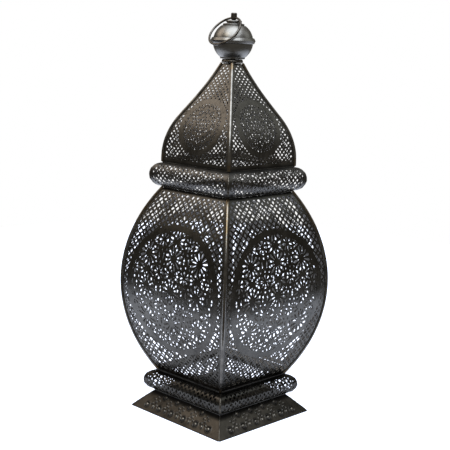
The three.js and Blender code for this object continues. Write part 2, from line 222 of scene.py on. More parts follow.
def trimmed(holes, *borders):
    """The holes cut back to the borders.

    A border gives the half-planes, as (nx, ny, limit), that bound a hole centred at a point.
    """
    result = []
    for hole in holes:
        at = centre_of(hole)
        for border in borders:
            for plane in border(*at):
                if hole:
                    hole = clipped(hole, *plane)
        hole = tidy(hole) if hole else []
        if hole and area(hole) > SMALLEST_HOLE:
            result.append(hole)
    return result


def within_disc(t_centre, radius):
    """Keeps holes inside a circle, whose edge counts as straight across each hole."""

    def planes(s, t):
        angle = math.atan2(t - t_centre, s)
        nx, ny = math.cos(angle), math.sin(angle)
        return [(nx, ny, radius + ny * t_centre)]

    return planes


def outside_disc(t_centre, radius):
    def planes(s, t):
        nx, ny, limit = within_disc(t_centre, radius)(s, t)[0]
        return [(-nx, -ny, -limit)]

    return planes


def within_sides(profile, margin):
    """Keeps holes margin inside the panel's two slanting edges."""

    def planes(s, t):
        edge, slope = profile.apothem(t) - margin, profile.slope(t)
        length = math.hypot(1, slope)
        limit = (edge - slope * t) / length
        return [(1 / length, -slope / length, limit), (-1 / length, -slope / length, limit)]

    return planes


def within_levels(low, high):
    return lambda s, t: [(0, 1, high), (0, -1, -low)]


def polar(r, angle, s=0.0, t=0.0):
    """The point at that distance and angle from (s, t)."""
    return s + r * math.cos(angle), t + r * math.sin(angle)


def shaped(points, s, t, angle):
    """Points given along and across a direction, turned to that angle and moved to (s, t)."""
    c, d = math.cos(angle), math.sin(angle)
    return [(s + c * u - d * v, t + d * u + c * v) for u, v in points]


def mirrored(half):
    """A closed outline from its upper edge, given from left to right."""
    return [(u, -v) for u, v in half] + [(u, v) for u, v in reversed(half)]


def petal(inner, outer, width, s, t, angle):
    """A teardrop slot that widens away from (s, t)."""
    run = outer - inner
    half = [(inner, 0.14 * width), (inner + 0.5 * run, 0.41 * width),
            (inner + 0.78 * run, 0.5 * width), (inner + 0.94 * run, 0.33 * width),
            (outer, 0.1 * width)]
    return shaped(mirrored(half), s, t, angle)


def lens(length, width, s, t, angle):
    """A slot that narrows towards both ends."""
    half = [(-length / 2, 0.08 * width), (-length / 3.6, 0.4 * width), (0.0, width / 2),
            (length / 3.6, 0.4 * width), (length / 2, 0.08 * width)]
    return shaped(mirrored(half), s, t, angle)


def dot(radius, s, t, corners=7):
    """A round hole."""
    turn = 0.4
    return [polar(radius, turn + 2 * math.pi * i / corners, s, t) for i in range(corners)]


def diamond(reach, s, t, cut, stretch=1.0):
    """A square hole on its corner, with its corners cut off, stretched a little along s or t."""
    near, far = cut * reach, (1 - cut / 2) * reach
    corners = [(far, near / 2), (near / 2, far), (-near / 2, far), (-far, near / 2)]
    return [(s + u * stretch, t + v / stretch) for u, v in corners + [(-u, -v) for u, v in corners]]


def rosettes(cell_s, cell_t, reach):
    """Big rosettes on a rectangular grid, with a small one in the middle of each cell."""
    lens_off, diamond_off = 10.8, 8.6  # from the point halfway between two big rosettes
    holes = []
    span_s, span_t = int(reach / cell_s) + 1, int(reach / cell_t) + 1
    for i in range(-span_s, span_s + 1):
        for j in range(-span_t, span_t + 1):
            s, t = i * cell_s, j * cell_t
            holes += big_rosette(s, t)
            holes += small_rosette(s + cell_s / 2, t + cell_t / 2)
            for side in (-1, 1):
                holes.append(lens(6.0, 3.1, s + side * lens_off, t + cell_t / 2, 0))
                holes.append(diamond(2.2, s + cell_s / 2, t + side * diamond_off, 0.5))
    return holes


def big_rosette(s, t):
    """Twelve petals, with lenses and dots in turn round them."""
    lens_ring, dot_ring, upright_dot_ring = 20.6, 19.2, 17.2
    holes = [petal(5.9, 17.3, 3.6, s, t, math.radians(15 + 30 * k)) for k in range(12)]
    for k in range(6):
        lens_angle, dot_angle = math.radians(60 * k), math.radians(30 + 60 * k)
        holes.append(lens(10.6, 3.2, *polar(lens_ring, lens_angle, s, t), lens_angle + math.pi / 2))
        r = upright_dot_ring if k in (1, 4) else dot_ring
        holes.append(dot(1.75, *polar(r, dot_angle, s, t)))
    return holes


def small_rosette(s, t):
    """Eight petals, every second one slimmer."""
    holes = []
    for k in range(4):
        holes.append(petal(2.8, 9.5, 3.9, s, t, math.radians(90 * k)))
        holes.append(petal(3.8, 10.0, 2.7, s, t, math.radians(45 + 90 * k)))
    return holes


def lattice(spacing, openness, s_phase, t_phase, reach_s, reach_t):
    """Holes on every second crossing of a square grid. Every fourth one each way is smaller."""
    holes = []
    span_s, span_t = int(reach_s / spacing) + 3, int(reach_t / spacing) + 3
    for i in range(-span_s, span_s + 1):
        for j in range(-span_t, span_t + 1):
            if (i + j) % 2:
                continue
            size, cut = (0.75, 0.35) if i % 4 == 0 and j % 4 == 0 else (1.0, 0.18)
            stretch = 1 + HAND.uniform(-UNEVEN, UNEVEN)
            reach = size * (1 + HAND.uniform(-UNEVEN, UNEVEN)) * openness * spacing
            reach = min(reach, WIDEST_HOLE * spacing / max(stretch, 1 / stretch))
            at = (s_phase + i * spacing, t_phase + j * spacing)
            holes.append(diamond(reach, *at, cut, stretch))
    return holes


def narrowed(holes, t_from, t_to, least):
    """The holes drawn in towards their own centres, more and more from one level to another."""
    result = []
    for hole in holes:
        s0, t0 = centre_of(hole)
        scale = float(np.interp(t0, (t_from, t_to), (1.0, least)))
        result.append([(s0 + scale * (s - s0), t0 + scale * (t - t0)) for s, t in hole])
    return result


def flower_rings(pitch, rings):
    """Small six-petalled flowers: one in the middle, and rings of them with dots between."""
    inner, outer, width = 0.15 * pitch, 0.44 * pitch, 0.25 * pitch
    holes = []
    for ring in range(rings + 1):
        count = max(1, 6 * ring)
        for k in range(count):
            around = 2 * math.pi * (k + 0.5 * (ring % 2)) / count
            at = polar(ring * pitch, around)
            for m in range(6):
                holes.append(petal(inner, outer, width, *at, around + math.radians(60 * m)))
            if ring:
                dot_at = polar((ring - 0.04) * pitch, around + math.pi / count)
                holes.append(dot(0.09 * pitch, *dot_at, 6))
    return holes


# ---- meshes ----


def make_mesh(name, points, faces, normals=None, wear_and_painted_light=None):
    """A mesh object from millimetres.

    normals are per face corner. The marks per point run from -1, grime and painted shade, to 1, rubbed wear,
    brazing and painted highlights.
    """
    mesh = bpy.data.meshes.new(name)
    mesh.from_pydata((np.asarray(points) * MM).tolist(), [], faces)
    mesh.polygons.foreach_set("use_smooth", [True] * len(mesh.polygons))
    attribute = mesh.attributes.new("wear_and_painted_light", "FLOAT", "POINT")
    attribute.data.foreach_set("value", np.zeros(len(points)) if wear_and_painted_light is None else wear_and_painted_light)
    if normals is not None:
        mesh.normals_split_custom_set(normals)
    mesh.update()
    made = bpy.data.objects.new(name, mesh)
    bpy.context.scene.collection.objects.link(made)
    return made


def edge_line(profile, t0, t1, offset, spacing=4.0):
    """Points up a panel's slanting edge: the apothem less an offset, between two levels."""
    levels = np.linspace(t0, t1, max(2, int(round((t1 - t0) / spacing)) + 1))
    return [(float(profile.apothem(t) - offset), float(t)) for t in levels]


def panel_outline(profile, t0, t1, offset, across=6.0):
    """The outline of a whole panel, anticlockwise from its lower left corner."""
    right = edge_line(profile, t0, t1, offset)
    left = [(-s, t) for s, t in reversed(right)]

    def level(from_s, to_s, t):
        steps = max(2, int(abs(to_s - from_s) / across))
        return [(float(s), t) for s in np.linspace(from_s, to_s, steps + 1)[1:-1]]

    return [*level(left[-1][0], *right[0]), *right, *level(right[-1][0], *left[0]), *left]


def triangulated(outline, holes, extra):
    """Points and triangles of the outline's inside, less its holes."""
    points, loops = [], []
    for loop in [outline, *holes]:
        loops.append(list(range(len(points), len(points) + len(loop))))
        points += loop
    points += extra
    found, _, faces, _, _, owners = delaunay_2d_cdt(points, [], loops, 1, 1e-5, True)
    # A face's owners are the loops it lies in: the sheet itself lies in the outline alone.
    kept = [list(face) for face, owner in zip(faces, owners) if list(owner) == [0]]
    used = sorted({i for face in kept for i in face})
    index = {old: new for new, old in enumerate(used)}
    return np.array([found[i] for i in used]), [[index[i] for i in face] for face in kept]


def cut_sheet(outline, holes=(), grid=None):
    """A flat sheet with real holes, as points and triangles. grid spaces points added inside."""
    extra = []
    if grid:
        low, high = np.min(outline, axis=0), np.max(outline, axis=0)
        for t in np.arange(low[1] + grid / 2, high[1], grid):
            extra += [(float(s), float(t)) for s in np.arange(low[0], high[0], grid)]
    return triangulated(outline, list(holes), inside_points(extra, outline))


def inside_points(points, outline):
    """The points that lie inside the outline."""
    if not points:
        return []
    at = np.array(points)
    inside = np.zeros(len(at), bool)
    for (s0, t0), (s1, t1) in with_next(outline):
        crosses = (t0 > at[:, 1]) != (t1 > at[:, 1])
        if crosses.any():
            where = s0 + (at[:, 1] - t0) / (t1 - t0 + 1e-12) * (s1 - s0)
            inside ^= crosses & (at[:, 0] < where)
    return [tuple(map(float, p)) for p in at[inside]]


def sheet(name, profile, side, flat, shade, relief=None):
    """A flat sheet bent along its profile. relief(s, t) is how far it is pushed out.

    shade(t, lift) marks the outside, from -1, grime and painted shade, to 1, rubbed wear and painted highlights.
    """
    turn = SIDES[side]
    (s, t), faces = flat[0].T, flat[1]
    lift = relief(s, t) if relief else np.zeros(len(s))
    outer, inner = profile.place(s, t, -lift, turn), profile.place(s, t, SHEET - lift, turn)
    outward = None if relief else profile.normals(t, turn)
    return closed_sheet(name, np.concatenate([outer, inner]), faces, outward, shade(t, lift))


def shaded_ends(profile, foot, top):
    """Painted shade at a profile's foot and at its top, where the next parts meet it, each fading out over its own
    reach.
    """
    first, last = profile.t[0], profile.t[-1]
    return lambda t, lift: -np.clip(np.maximum(1 - (t - first) / foot, 1 - (last - t) / top), 0, 1)


def closed_sheet(name, points, faces, outward, shade):
    """Joins the two skins of a sheet by walls round its rim and every hole.

    outward gives the outer skin's exact normals, where the sheet has no relief.
    """
    count = len(points) // 2
    tri = np.array(faces)
    edges = np.concatenate([tri[:, [0, 1]], tri[:, [1, 2]], tri[:, [2, 0]]])
    keys = np.sort(edges, axis=1)
    _, first, times = np.unique(keys, axis=0, return_index=True, return_counts=True)
    rim = edges[first[times == 1]]
    walls = np.stack([rim[:, 1], rim[:, 0], rim[:, 0] + count, rim[:, 1] + count], axis=1)
    wear_and_painted_light = np.zeros(2 * count)
    # Rims of the sheet and its holes are rubbed bright: wear, and partly a painted glint along their edges.
    wear_and_painted_light[np.unique(rim)] = 1.0
    wear_and_painted_light[np.unique(rim) + count] = 1.0
    # Darkening, painted shade and grime, counts twice, so that it also covers rubbed rims.
    wear_and_painted_light[:count] = np.clip(wear_and_painted_light[:count] + np.where(shade < 0, 2 * shade, shade), -1, 1)
    all_faces = faces + (tri[:, ::-1] + count).tolist() + walls.tolist()
    normals = None if outward is None else corner_normals(points, tri, walls, outward)
    return inside_marked(make_mesh(name, points, all_faces, normals, wear_and_painted_light), len(faces))


def corner_normals(points, tri, walls, outward):
    """A normal for each face corner: smooth over both skins and square to each wall."""
    across = points[walls[:, 1]] - points[walls[:, 0]]
    down = points[walls[:, 2]] - points[walls[:, 1]]
    square = np.cross(across, down)
    square /= np.linalg.norm(square, axis=1)[:, None]
    skins = [outward[tri.ravel()], -outward[tri[:, ::-1].ravel()]]
    return np.concatenate([*skins, np.repeat(square, 4, axis=0)]).tolist()


def inside_marked(made, count):
    """Puts the inner skin, the second lot of faces, in the second material slot."""
    indices = np.zeros(len(made.data.polygons), int)
    indices[count:2 * count] = 1
    made.data.materials.append(None)
    made.data.materials.append(None)
    made.data.polygons.foreach_set("material_index", indices)
    return made


def tube(name, centres, radii, sides, ups, closed=False, wear_and_painted_light=None):
    """A round bar along a line. Each centre has its own radius, wear and direction across."""
    count = len(centres)
    if closed:
        run = np.roll(centres, -1, 0) - np.roll(centres, 1, 0)
    else:
        run = np.gradient(centres, axis=0)
    run /= np.linalg.norm(run, axis=1)[:, None]
    first = np.cross(run, ups)
    first /= np.linalg.norm(first, axis=1)[:, None]
    second = np.cross(first, run)
    angles = np.linspace(0, 2 * math.pi, sides, endpoint=False)[None, :, None]
    ring = np.cos(angles) * first[:, None] + np.sin(angles) * second[:, None]
    points = (centres[:, None] + ring * radii[:, None, None]).reshape(-1, 3)
    faces = []
    for i in range(count if closed else count - 1):
        j = (i + 1) % count
        for k in range(sides):
            m = (k + 1) % sides
            faces.append([i * sides + k, i * sides + m, j * sides + m, j * sides + k])
    if not closed:
        faces += [list(range(sides))[::-1], [(count - 1) * sides + k for k in range(sides)]]
    made = make_mesh(name, points, faces, wear_and_painted_light=None if wear_and_painted_light is None else np.repeat(wear_and_painted_light, sides))
    made.data.set_sharp_from_angle(angle=math.radians(50))
    return made


def lathe(name, outline, segments=96, wobble=0.0):
    """A turned piece about Z from a closed outline of (radius, z) points.

    The outline runs anticlockwise, with the axis on its left. wobble is how far its roundness
    strays, as a share of the radius.
    """
    points, rows = [], []
    for r, z in outline:
        if r < 1e-6:
            rows.append([len(points)] * segments)
            points.append((0.0, 0.0, z))
            continue
        rows.append(list(range(len(points), len(points) + segments)))
        for k in range(segments):
            u = 2 * math.pi * k / segments
            r_here = r * (1 + wobble * noise.noise((3 * math.cos(u), 3 * math.sin(u), z / 9)))
            points.append((r_here * math.cos(u), r_here * math.sin(u), z))
    faces = []
    for lower, upper in with_next(rows):
        for k in range(segments):
            m = (k + 1) % segments
            face = list(dict.fromkeys([lower[k], lower[m], upper[m], upper[k]]))
            if len(face) > 2:
                faces.append(face)
    made = make_mesh(name, points, faces)
    made.data.set_sharp_from_angle(angle=math.radians(40))
    return made


# ---- materials ----


class Nodes:
    """A short way to write a material's node tree."""

    def __init__(self, name):
        self.material = bpy.data.materials.new(name)
        self.material.use_nodes = True
        self.tree = self.material.node_tree
        self.shader = self.tree.nodes["Principled BSDF"]

    def add(self, kind, inputs=None, **settings):
        node = self.tree.nodes.new(kind)
        for key, value in settings.items():
            setattr(node, key, value)
        for key, value in (inputs or {}).items():
            self.feed(node.inputs[key], value)
        return node

    def feed(self, socket, value):
        if isinstance(value, bpy.types.NodeSocket):
            self.tree.links.new(value, socket)
        else:
            socket.default_value = value

    def noise(self, where, scale, detail=4.0, roughness=0.55):
        inputs = {"Vector": where, "Scale": scale, "Detail": detail, "Roughness": roughness}
        return self.add("ShaderNodeTexNoise", inputs).outputs["Fac"]

    def ramp(self, value, low, high, to_low=0.0, to_high=1.0):
        """The value carried from low..high to to_low..to_high, and held at the ends."""
        ends = {"From Min": low, "From Max": high, "To Min": to_low, "To Max": to_high}
        return self.add("ShaderNodeMapRange", {"Value": value, **ends}).outputs["Result"]

    def math(self, operation, a, b):
        inputs = {0: a, 1: b}
        return self.add("ShaderNodeMath", inputs, operation=operation, use_clamp=True).outputs[0]

    def mix(self, amount, a, b):
        inputs = {"Factor": amount, "A": a, "B": b}
        return self.add("ShaderNodeMix", inputs, data_type="RGBA").outputs["Result"]


def opaque(colour, share=1.0):
    """A colour darkened to a share of itself, with the alpha that a socket wants."""
    return (*[share * c for c in colour], 1.0)


def aged_metal(name, dark, light, bright_colour, rough, grain=(1.0, 1.0, 1.0), patina=35.0, brightening_gain=1.0,
               bump=0.12, find_edges=0.0, speckle=0.45):
    """Darkened metal: cloudy patina, fine brushing, small dents and dark specks.

    The mesh's point marks say where it is rubbed bright, brazed or given a painted highlight, and where it has
    grime or painted shade.
    With find_edges, a distance in metres, it is rubbed bright along its own sharp edges instead, partly as a
    painted glint.
    """
    n = Nodes(name)
    where = n.add("ShaderNodeTexCoord").outputs["Object"]
    brushed = n.add("ShaderNodeMapping", {"Vector": where, "Scale": grain}).outputs["Vector"]
    cloud = n.noise(where, patina, 5.0, 0.6)
    fine = n.noise(brushed, 650.0, 3.0, 0.6)
    speck = n.noise(where, 260.0, 2.0, 0.7)
    edge = n.add("ShaderNodeAttribute", attribute_name="wear_and_painted_light").outputs["Fac"]
    if find_edges:
        bevel = n.add("ShaderNodeBevel", {"Radius": find_edges}, samples=4).outputs["Normal"]
        true = n.add("ShaderNodeNewGeometry").outputs["Normal"]
        compare = n.add("ShaderNodeVectorMath", {0: bevel, 1: true}, operation="DOT_PRODUCT")
        edge = n.ramp(compare.outputs["Value"], 0.98, 0.75)
    # Brightening: rubbed wear and brazing, with painted highlights: glints on rims and edges, the tops of the
    # skirt's swellings and the upper part of the body's rods.
    brightening = n.ramp(edge, 0.35, 1.0, 0.0, brightening_gain)
    brightening = n.math("MULTIPLY", brightening, n.ramp(speck, 0.35, 0.62))
    base = n.mix(n.ramp(cloud, 0.36, 0.66), opaque(dark), opaque(light))
    base = n.mix(n.ramp(speck, 0.6, 0.78, 0.0, speckle), base, opaque(dark, 0.45))
    colour = n.mix(brightening, base, opaque(bright_colour))
    blend = n.math("ADD", n.math("MULTIPLY", cloud, 0.6), n.math("MULTIPLY", fine, 0.4))
    roughness = n.ramp(blend, 0.3, 0.7, *rough)
    if not find_edges:
        # Darkening: painted shade at the sheets' ends, where other parts meet them, and under the lower moulding,
        # with grime in the skirt's grooves and round its swellings.
        darkening = n.ramp(edge, -0.15, -0.9, 0.0, 0.85)
        colour = n.mix(darkening, colour, opaque(dark, 0.3))
        roughness = n.math("ADD", roughness, n.math("MULTIPLY", darkening, 0.3))
    height = n.math("ADD", n.math("MULTIPLY", fine, 0.25), n.math("MULTIPLY", cloud, 0.75))
    dents = n.add("ShaderNodeBump", {"Height": height, "Strength": bump, "Distance": 0.001})
    n.feed(n.shader.inputs["Base Color"], colour)
    n.feed(n.shader.inputs["Roughness"], roughness)
    n.feed(n.shader.inputs["Normal"], dents.outputs["Normal"])
    n.shader.inputs["Metallic"].default_value = 1.0
    return n.material


MATERIALS = {
    "etched": aged_metal(
        "etched_sheet", (0.036, 0.035, 0.033), (0.078, 0.076, 0.072), (0.14, 0.135, 0.125),
        (0.15, 0.32), brightening_gain=0.3, bump=0.16),
    "dome": aged_metal(
        "etched_dome", (0.042, 0.04, 0.037), (0.09, 0.086, 0.08), (0.15, 0.145, 0.135),
        (0.26, 0.42), brightening_gain=0.3, bump=0.16),
    # A lighter copy of the etched metal for the upper moulding alone, the same metal as the lower one: a lit copy,
    # painted light.
    "moulding": aged_metal(
        "etched_moulding", (0.055, 0.054, 0.052), (0.115, 0.113, 0.11), (0.17, 0.165, 0.155),
        (0.26, 0.42), brightening_gain=0.3, bump=0.16),
    "raw": aged_metal(
        "raw_inside", (0.27, 0.268, 0.275), (0.6, 0.592, 0.6), (0.4, 0.38, 0.35), (0.5, 0.7),
        brightening_gain=0.2, bump=0.2),
    "base": aged_metal(
        "stamped_base", (0.042, 0.04, 0.037), (0.095, 0.087, 0.077), (0.3, 0.275, 0.24),
        (0.22, 0.4), brightening_gain=0.6, bump=0.2),
    "rod": aged_metal(
        "corner_rod", (0.1, 0.096, 0.091), (0.22, 0.212, 0.2), (0.15, 0.11, 0.062), (0.16, 0.28),
        grain=(1, 1, 0.15), patina=60.0),
    "solder": aged_metal(
        "solder_seam", (0.05, 0.046, 0.04), (0.12, 0.11, 0.096), (0.3, 0.26, 0.2), (0.3, 0.48),
        patina=160.0, bump=0.3),
    "spun": aged_metal(
        "spun_finial", (0.11, 0.108, 0.103), (0.2, 0.195, 0.186), (0.42, 0.41, 0.39),
        (0.28, 0.4), grain=(0.12, 0.12, 1), patina=16.0, bump=0.012, find_edges=0.0004,
        speckle=0.12),
    "wire": aged_metal(
        "loop_wire", (0.05, 0.046, 0.042), (0.13, 0.12, 0.108), (0.3, 0.28, 0.25), (0.24, 0.4),
        patina=120.0, bump=0.2),
    "fastener": aged_metal(
        "fastener", (0.045, 0.04, 0.035), (0.11, 0.1, 0.086), (0.35, 0.32, 0.28), (0.28, 0.46),
        patina=120.0, find_edges=0.0005),
    # Darker than the outside metal: soot, and painted shade in the joints between the mouldings, the body and the
    # dome, where the frames show.
    "inner": aged_metal(
        "inner_sheet", (0.04, 0.039, 0.037), (0.12, 0.117, 0.11), (0.12, 0.11, 0.1),
        (0.45, 0.65), patina=30.0, brightening_gain=0.5, find_edges=0.0006),
}


def finish_piece(piece, body, look, *nodes):
    """Gives a piece its body, its materials and the CAD nodes that it stands for."""
    materials = piece.data.materials
    if len(materials) == 2:  # a sheet, whose inside is raw metal
        materials[0] = MATERIALS[look]
        materials[1] = MATERIALS["raw"]
    else:
        materials.clear()
        materials.append(MATERIALS[look])
    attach(piece, body)
    if nodes:
        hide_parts(*nodes)


# ---- body ----

BODY = body_profile()
HOLE_MARGIN = 5.6  # solid strip along each panel's slanting edges, from the corner
END_MARGIN = 5.6  # and along its top and bottom edges
BODY_BAND = (90.5, 82.0)  # outer and inner radius of the plain band round a medallion
DOOR_BAND = (81.0, 72.5)
ROSETTE_CELL = (50.0, 45.0)
LATTICE_PHASE = (7.0, 126.7)  # where one of the grid's crossings lies
NET_REACH = 110  # how far each way a net is drawn: further than the widest panel reaches
# Painted shade along the body's top and foot, where the mouldings meet it.
BODY_SHADE = shaded_ends(BODY, foot=9.0, top=9.0)


def medallion_holes(profile, t_centre, band, flowers, side_margin, levels, net):
    """Flowers inside a round band, and lattice outside it. net is spacing, openness and phase."""
    outer, inner = band
    spacing, openness, phase = net
    flowers = [[(s, t + t_centre) for s, t in hole] for hole in flowers]
    flowers = trimmed(flowers, within_disc(t_centre, inner))
    reach_t = max(abs(levels[0] - phase[1]), abs(levels[1] - phase[1]))
    cuts = lattice(spacing, openness, *phase, NET_REACH + abs(phase[0]), reach_t)
    edges = within_sides(profile, side_margin), within_levels(*levels)
    return flowers + trimmed(cuts, outside_disc(t_centre, outer), *edges)


body_flowers = rosettes(*ROSETTE_CELL, BODY_BAND[1])
body_levels = (BODY.t[0] + END_MARGIN, BODY.t[-1] - END_MARGIN)
body_net = (BODY_LATTICE, BODY_OPENNESS, LATTICE_PHASE)
body_holes = medallion_holes(
    BODY, 0.0, BODY_BAND, body_flowers, HOLE_MARGIN, body_levels, body_net)
body_sheet = cut_sheet(panel_outline(BODY, BODY.t[0], BODY.t[-1], ROD_MARGIN), body_holes)
for side in ("front", "right", "left"):
    panel = sheet(f"pierced_body_{side}", BODY, side, body_sheet, BODY_SHADE)
    finish_piece(panel, "lantern", "etched", f"body_panel_{side}")

# ---- door, framed by plain strips ----

JAMB = 9.0  # width of the strips beside the door
DOOR_GAP = 0.4  # between the door and those strips
DOOR_MARGIN = ROD_MARGIN + JAMB + DOOR_GAP
DOOR_SIDE_STRIP = 4.5  # solid strip along the door's slanting edges
DOOR_END_STRIP = 5  # and along its top and bottom edges


def levels_of(node):
    """The levels of t at a node's lowest and highest point, on the body's side."""
    return [BODY.t_at(z) for z in heights_of(node)]


def jamb_outline(node, mirror):
    t0, t1 = levels_of(node)
    outer = edge_line(BODY, t0, t1, ROD_MARGIN)
    inner = edge_line(BODY, t0, t1, ROD_MARGIN + JAMB)
    loop = outer + inner[::-1]
    return [(-s, t) for s, t in loop[::-1]] if mirror else loop


def plain_strip(node, outline):
    strip = sheet(f"plain_{node}", BODY, "back", cut_sheet(outline), BODY_SHADE)
    finish_piece(strip, "lantern", "etched", node)


door_low, door_high = levels_of("door_panel")
door_levels = (door_low + DOOR_END_STRIP, door_high - DOOR_END_STRIP)
door_net = (BODY_LATTICE, DOOR_OPENNESS, LATTICE_PHASE)
door_holes = medallion_holes(
    BODY, 0.0, DOOR_BAND, body_flowers, DOOR_MARGIN + DOOR_SIDE_STRIP, door_levels, door_net)
door_sheet = cut_sheet(panel_outline(BODY, door_low, door_high, DOOR_MARGIN), door_holes)
door = sheet("pierced_door", BODY, "back", door_sheet, BODY_SHADE)
finish_piece(door, "door", "etched", "door_panel")

for node in ("door_sill", "door_header"):
    plain_strip(node, panel_outline(BODY, *levels_of(node), ROD_MARGIN))
for node, mirror in (("jamb_left", False), ("jamb_right", True)):
    plain_strip(node, jamb_outline(node, mirror))

# ---- dome ----

DOME = dome_profile()
DOME_MEDALLION = 55.3  # level of its centre
DOME_BAND = (41.0, 33.5)
DOME_SIDE_MARGIN = 5.2
DOME_FOOT_MARGIN, DOME_TOP_MARGIN = 5.6, 2.5
DOME_PHASE = (0.0, 9.0)
DOME_NARROWING = (70.0, 118.0, 0.84)  # two levels, and the holes' scale at the upper one
# Painted shade along the dome's foot, where it meets the upper moulding.
DOME_SHADE = shaded_ends(DOME, foot=9.0, top=0.5)

dome_flowers = flower_rings(10.4, 3)
dome_levels = (DOME_FOOT_MARGIN, DOME.t[-1] - DOME_TOP_MARGIN)
dome_net = (DOME_LATTICE, DOME_OPENNESS, DOME_PHASE)
dome_holes = medallion_holes(
    DOME, DOME_MEDALLION, DOME_BAND, dome_flowers, DOME_SIDE_MARGIN, dome_levels, dome_net)
dome_holes = narrowed(dome_holes, *DOME_NARROWING)
dome_sheet = cut_sheet(panel_outline(DOME, DOME.t[0], DOME.t[-1], ROD_MARGIN), dome_holes)
for side in SIDES:
    panel = sheet(f"pierced_dome_{side}", DOME, side, dome_sheet, DOME_SHADE)
    finish_piece(panel, "lantern", "dome", f"dome_panel_{side}")

# ---- mouldings ----

RING_REACH = 84  # how far each way a moulding's net is drawn
RING_SIDE_MARGIN = 6.6
RING_LOW_MARGIN, RING_HIGH_MARGIN = 8.0, 12.0

for level, look in (("lower", "etched"), ("upper", "moulding")):
    profile = ring_profile(f"{level}_ring_front")
    top = profile.t[-1]
    net = lattice(RING_LATTICE, RING_OPENNESS, 0.0, top / 2, RING_REACH, top / 2)
    levels = within_levels(RING_LOW_MARGIN, top - RING_HIGH_MARGIN)
    holes = trimmed(net, within_sides(profile, RING_SIDE_MARGIN), levels)
    ring_sheet = cut_sheet(panel_outline(profile, 0.0, top, MITRE), holes, grid=2.4)
    # Painted shade along the moulding's two edges, where the frames and the next parts meet it.
    shade = shaded_ends(profile, foot=8.0, top=9.0)
    for side in SIDES:
        ring = sheet(f"pierced_{level}_ring_{side}", profile, side, ring_sheet, shade)
        finish_piece(ring, "lantern", look, f"{level}_ring_{side}")

# ---- skirt ----

SKIRT = skirt_profile()
FLOWER_PITCH = 25.0
FLOWER_ROW, LOWER_BOSSES, UPPER_BOSSES = 9.0, 9.5, 27.8  # levels of the three rows
UPPER_BOSSES_END = 45  # the upper row stays this near to the middle
SKIRT_TOP_SHADE = 14  # how far the painted shade under the lower moulding reaches down from the skirt's top


def bump(s, t, centre, reach, height, lean=0.0):
    """A rounded oval swelling."""
    c, d = math.cos(lean), math.sin(lean)
    u, v = s - centre[0], t - centre[1]
    q = ((c * u + d * v) / reach[0]) ** 2 + ((c * v - d * u) / reach[1]) ** 2
    return height * np.clip(1 - q, 0, 1) ** 0.75


def ridge(distance, peak, width):
    """A smooth ridge of height 1 where distance is at its peak."""
    return np.exp(-(((distance - peak) / width) ** 2))


def ringed_boss(s, t, centre):
    """A round swelling in a groove with a low rim round it."""
    distance = np.hypot(s - centre[0], t - centre[1])
    rim = 0.7 * ridge(distance, 4.8, 0.75)
    groove = -0.45 * ridge(distance, 3.6, 0.7)
    return bump(s, t, centre, (3.1, 3.1), 1.9) + rim + groove


def flower(s, t, centre):
    """A stem of three buds with a pair of leaves at each joint."""
    x, y = centre
    raised = bump(s, t, (x, y), (2.2, 3.4), 2.0)
    for height, reach in ((8.4, (2.0, 2.3)), (16.0, (1.6, 1.9))):
        raised = np.maximum(raised, bump(s, t, (x, y + height), reach, 1.6))
    for height, length in ((4.4, 2.7), (12.2, 2.3)):
        for side in (-1, 1):
            leaf = bump(s, t, (x + side * 4.3, y + height), (1.4, length), 1.3, side * 0.6)
            raised = np.maximum(raised, leaf)
    return raised


def skirt_relief(s, t):
    """Flowers with bosses between them, and a shorter row of bosses above."""
    raised = np.zeros(len(s))
    for i in range(-2, 3):
        raised += flower(s, t, (i * FLOWER_PITCH, FLOWER_ROW))
    for i in range(-3, 3):
        x = (i + 0.5) * FLOWER_PITCH
        raised += ringed_boss(s, t, (x, LOWER_BOSSES))
        if abs(x) < UPPER_BOSSES_END:
            raised += ringed_boss(s, t, (x, UPPER_BOSSES))
    return raised


def skirt_shade(t, lift):
    """Rubbed bright on the tops, partly a painted highlight; grime in the grooves and round each swelling; painted
    shade at the skirt's top.
    """
    # The tops: rubbed wear and a painted highlight.
    bright = np.clip((lift - 1.0) / 0.6, 0, 1)
    darkening = np.maximum(ridge(lift, 0.3, 0.18), np.clip(-lift / 0.3, 0, 1))
    # Painted shade under the lower moulding, down from the skirt's top.
    high = np.clip((t - SKIRT.t[-1] + SKIRT_TOP_SHADE) / SKIRT_TOP_SHADE, 0, 1)
    return bright - np.maximum(0.6 * darkening, high) * (1 - bright)


skirt_outline = panel_outline(SKIRT, SKIRT.t[0], SKIRT.t[-1], MITRE, across=2.0)
skirt_sheet = cut_sheet(skirt_outline, grid=0.55)
for side in SIDES:
    skirt = sheet(f"embossed_skirt_{side}", SKIRT, side, skirt_sheet, skirt_shade, skirt_relief)
    skirt.data.set_sharp_from_angle(angle=math.radians(70))
    finish_piece(skirt, "lantern", "base", f"skirt_{side}")

# ---- corner rods and solder ----

BODY_BRASS_AND_HIGHLIGHT = (6.0, 44.0)  # lengths of yellow brazing at a rod's foot and at its top; the body rods' long top run is also a painted warm highlight
DOME_BRAZING = (8.0, 8.0)
RING_SEAM_END = 6.0  # a seam stops this far before a moulding's edges
SKIRT_SEAM = (0.8, 33.4)  # levels of t
RING_SOLDER = (1.7, 1.25)  # radius of a seam, and how deep its centre is sunk
SKIRT_SOLDER = (1.0, 0.62)


def up_corner(reach, height, corner):
    """Points up a corner, and for each of them a direction across the corner."""
    points = turned_about_z(np.stack([reach, 0 * reach, height], -1), CORNERS[corner])
    across = turned_about_z(np.tile([0.0, 1.0, 0.0], (len(reach), 1)), CORNERS[corner])
    return points, across


def uneven(levels, amount, length, seed):
    """Factors near 1 that drift along the levels."""
    return np.array([1 + amount * noise.noise((seed, t / length, 0)) for t in levels])


